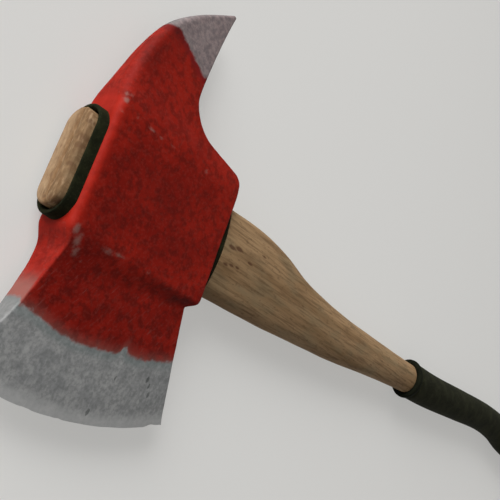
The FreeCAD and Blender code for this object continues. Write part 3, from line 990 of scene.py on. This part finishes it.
# How much a face looks towards the head's top: it carries painted light on the red and painted shade on
# the bare steel.
painted_top_light_and_shade = paint.mask(paint.add("SeparateXYZ", {0: normal}).outputs["X"], 0.3, 0.9)
rim, bare, depth, painted_light_by_crown = map(paint.trait, ("rim", "bare", "edge", "crown"))
red = paint.layer(
    paint.mix(paint.mask(cloud, 0.35, 0.65), (124, 21, 12), (144, 28, 17)),
    (paint.mask(mottle, 0.42, 0.64), 0.65, (84, 17, 12)),
    (paint.mask(ember, 0.46, 0.64), 0.65, (164, 40, 22)),
    (paint.mask(grit, 0.5, 0.66), 0.2, (150, 58, 48)),
    # Painted light: the red is brighter on faces that look towards the head's top.
    (painted_top_light_and_shade, 0.12, (186, 40, 26)),
    # Painted light: the red is brighter on the top face and rims by the boss's crown, beside the
    # sleeve's lip.
    (paint.mask(painted_light_by_crown, 9.0, 3.0), 0.5, (178, 38, 24)),
)
print("The sound paint takes", len(paint.tree.nodes), "nodes")

# %% Rubbed, scuffed and sooty paint, and painted shade
scuff, soot_and_shade, faded = map(paint.trait, ("scuff", "soot_and_shade", "faded"))
broken = paint.noise(2.4, 4, 0.65)
rub = paint.times(paint.noise(7, 5, 0.62), 7.0)
ragged = paint.math("SUBTRACT", paint.times(paint.noise(5, 5, 0.6), 5.0), 2.5)
thin = paint.frayed(faded, ragged, -12.0, 5.0)
by_bit = paint.mask(depth, 125.0, 110.0)
burnt = paint.math("SUBTRACT", paint.frayed(bare, ragged, -9.0, -2.0), by_bit)
hair = paint.noise(1.0, 4, 0.7, paint.stretched(1.6, 9.0, 6.0, (0.0, 0.0, 0.5)))
scratched = paint.times(paint.mask(hair, 0.56, 0.72), paint.mask(depth, 104.0, 84.0))
red = paint.layer(
    red,
    (paint.mask(paint.math("SUBTRACT", rub, rim), 1.6, 4.4), 0.3, (172, 40, 26)),
    (paint.times(paint.math("POWER", thin, 1.8), by_bit), 0.8, (146, 98, 90)),
    (paint.math("MAXIMUM", burnt, 0.0), 0.6, (98, 22, 26)),
    (paint.frayed(scuff, broken, 0.75, 1.6), 0.7, (142, 108, 100)),
    # Darker paint: soot in small marks, and painted shade in the crease and on the pick's back.
    (soot_and_shade, 0.5, (72, 20, 17)),
    (paint.frayed(soot_and_shade, broken, 1.3, 1.7), 0.65, (50, 26, 25)),
    (scratched, 0.4, (140, 78, 72)),
)
print("With its wear it takes", len(paint.tree.nodes), "nodes")

# %% Bare steel
# Each row: the place X, Y and Z of a pit, and its reach.
pit_marks = (
    (-13.5, 129.0, 20.0, 3.2), (-47.4, 98.5, 25.0, 3.0), (-51.0, 102.0, 24.0, 2.4),
    (-53.7, 107.2, 22.0, 2.6), (-21.0, 105.0, 24.0, 2.0),
)
steel_cloud, steel_spot = paint.noise(9, 4, 0.6), paint.noise(2.4, 3, 0.6)
blush = paint.noise(3.4, 4, 0.66)
streak = paint.noise(1.0, 3, 0.6, paint.stretched(1.8, 5.0, 4.0))
cold = paint.math("SUBTRACT", paint.mask(bare, -1.0, 1.0), paint.mask(bare, 2.0, 7.0))
rosy = paint.mix(paint.mask(blush, 0.34, 0.68), (102, 82, 84), (152, 128, 126))
pitted = paint.spots(pit_marks, (1.6, 0.8, 0.3))
steel = paint.layer(
    paint.mix(paint.mask(steel_cloud, 0.34, 0.66), (148, 149, 149), (170, 170, 169)),
    (paint.mask(steel_spot, 0.34, 0.7), 0.55, (114, 116, 116)),
    (paint.mask(streak, 0.48, 0.7), 0.18, (204, 204, 202)),
    (paint.mask(depth, 12.0, 2.0), 0.6, (200, 200, 199)),
    (cold, 0.4, (114, 128, 126)),
    (paint.mask(depth, 120.0, 140.0), 0.7, rosy),
    (paint.frayed(pitted, broken, 0.8, 1.2), 0.6, (72, 76, 74)),
    # Painted shade: the bare steel is darker on faces that look towards the head's top.
    (painted_top_light_and_shade, 0.6, (120, 120, 119)),
)

# %% Paint over steel
chipping = paint.times(paint.noise(5.5, 5, 0.6), 8.0)
rim_chips = paint.mask(paint.math("SUBTRACT", chipping, rim), 5.2, 5.6)
bare_here = paint.math("MAXIMUM", paint.frayed(bare, ragged, -1.6, 1.2), rim_chips)
paint.shade(
    Base_Color=paint.mix(bare_here, red, steel),
    Metallic=paint.times(bare_here, 0.25),
    Roughness=paint.between(mottle, 0.5, 0.68),
    Specular_IOR_Level=0.08,
    Normal=paint.bump(grit, 0.04, 0.4, paint.bump(bare_here, -0.1, 0.5)),
)
axe_head.data.materials.append(paint.owner)
print("The paint and the steel take", len(paint.tree.nodes), "nodes")

# %% [markdown]
# ## Wood
# Hickory is pale with fine brown lines that run with the haft. A wave texture would give stripes that
# are too even, so the grain is noise drawn out along X. A few dark streaks are dents that have filled
# with dirt, and the sawn end above the head is speckled and darker, with painted light that makes its
# lower half paler.

# %% The wood's finish


def wood_finish(name, light, dark, stain, marks):
    """Light wood with dark bands, stained lines and flecks along X, filled dents and a speckled end."""
    wood = Graph(bpy.data.materials.new(name))
    slow = wood.noise(9, 4, 0.5, wood.stretched(14, 1, 1))
    fine = wood.noise(1.9, 4, 0.62, wood.stretched(16, 1, 1))
    flecks = wood.noise(2.4, 4, 0.65, wood.stretched(2.4, 1, 1))
    grey = wood.noise(11, 3, 0.5, wood.stretched(3, 1, 1))
    speckle = wood.noise(1.9, 3, 0.5, wood.stretched(1, 3, 1))
    ends = wood.mask(wood.along(0), haft_top - 6.5, haft_top - 2.5)
    # Painted light: the sawn end's lower half, towards the floor, is paler.
    lower_half_painted_light = wood.times(ends, wood.mask(wood.along(2), 21.0, 9.0))
    pale = wood.times(ends, wood.mask(speckle, 0.48, 0.72))
    brown = wood.times(ends, wood.mask(speckle, 0.48, 0.28))
    tone = wood.layer(
        wood.mix(wood.mask(slow, 0.35, 0.68), light, dark),
        (wood.mask(grey, 0.45, 0.7), 0.5, (132, 118, 90)),
        (wood.mask(fine, 0.42, 0.7), 0.6, stain),
        (wood.mask(flecks, 0.54, 0.74), 0.6, stain),
        (wood.frayed(wood.spots(marks, (0.3, 0.9, 0.5)), flecks, 0.7, 1.4), 0.85, (84, 54, 36)),
        (ends, 0.65, (112, 84, 56)),
        (lower_half_painted_light, 0.45, (196, 164, 130)),
        (pale, 0.3, (206, 176, 140)),
        (brown, 0.45, (98, 66, 44)),
    )
    wood.shade(
        Base_Color=tone, Roughness=wood.between(slow, 0.6, 0.8),
        Specular_IOR_Level=0.2, Normal=wood.bump(fine, 0.12, 0.5),
    )
    print(name, "takes", len(wood.tree.nodes), "nodes")
    return wood.owner


# Each row: the place X, Y and Z of a dent, and its reach. The last four are in the end above the head.
haft_marks = (
    (-80.2, -8.9, 30.0, 2.6), (-73.0, -7.1, 30.0, 2.4), (-110.3, -15.8, 29.0, 1.8),
    (-96.7, -4.4, 30.0, 1.8), (-72.0, 6.2, 30.0, 1.6), (-78.0, 4.5, 30.0, 1.7),
    (-85.0, 3.6, 30.0, 1.5), (-101.0, 11.0, 27.0, 2.0), (-107.4, 16.6, 24.0, 1.8),
    (-133.0, -10.5, 28.0, 2.2), (-177.0, 0.4, 27.0, 2.0), (69.0, -21.2, 27.3, 2.2),
    (69.5, -10.6, 26.5, 3.2), (70.0, -5.7, 27.0, 3.0), (70.0, 6.4, 26.8, 2.4),
    (69.0, 27.6, 24.1, 3.4), (70.0, 27.1, 16.6, 1.6),
)
haft.data.materials.append(wood_finish(
    "hickory", (166, 135, 99), (138, 109, 76), (88, 63, 40), haft_marks))
wedge.data.materials.append(wood_finish(
    "wedge_wood", (162, 122, 80), (140, 102, 64), (100, 70, 42), haft_marks[-4:]))

# %% [markdown]
# ## Rubber
# Old black rubber is not black: it has a dull olive bloom, faintly mottled, and hardly any gloss.
# Round the grip's mouth it is darker, which is painted shade. One finish serves both pieces, because a
# plain colour on the smaller one would look like a gap.

# %% The rubber's finish


def rubber_finish(name, black, bloom, dust, painted_shade_end):
    """Black rubber with patches of bloom and specks of dust, and painted shade near an end."""
    rubber = Graph(bpy.data.materials.new(name))
    patch, fine = rubber.noise(16, 5, 0.6), rubber.noise(1.2, 3, 0.6)
    tone = rubber.layer(
        rubber.mix(rubber.mask(patch, 0.38, 0.68), black, bloom),
        (rubber.mask(fine, 0.5, 0.75), 0.5, dust),
        # Painted shade: the rubber is darker near the given end, at the grip's mouth.
        (rubber.mask(rubber.along(0), painted_shade_end - 12.0, painted_shade_end - 6.0), 0.65, (12, 15, 10)),
    )
    rubber.shade(
        Base_Color=tone, Roughness=rubber.between(patch, 0.62, 0.8),
        Specular_IOR_Level=0.03, Normal=rubber.bump(fine, 0.06, 0.5),
    )
    print(name, "takes", len(rubber.tree.nodes), "nodes")
    return rubber.owner


sleeve.data.materials.append(rubber_finish(
    "sleeve_rubber", (24, 26, 16), (40, 42, 26), (56, 57, 40), sleeve_high[0] + 12.0))
grip.data.materials.append(rubber_finish(
    "grip_rubber", (27, 28, 18), (45, 46, 33), (68, 68, 54), grip_high[0]))

# %% [markdown]
# ## Putting it together
# Each new piece rides on the axe's one body and stands for its CAD node, which is hidden.

# %% Riding and replacing
for piece, node in ((axe_head, "axe_head"), (sleeve, "eye_sleeve"), (haft, "haft"),
                    (wedge, "haft_wedge"), (grip, "grip_sleeve")):
    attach(piece, "root")
    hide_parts(node)
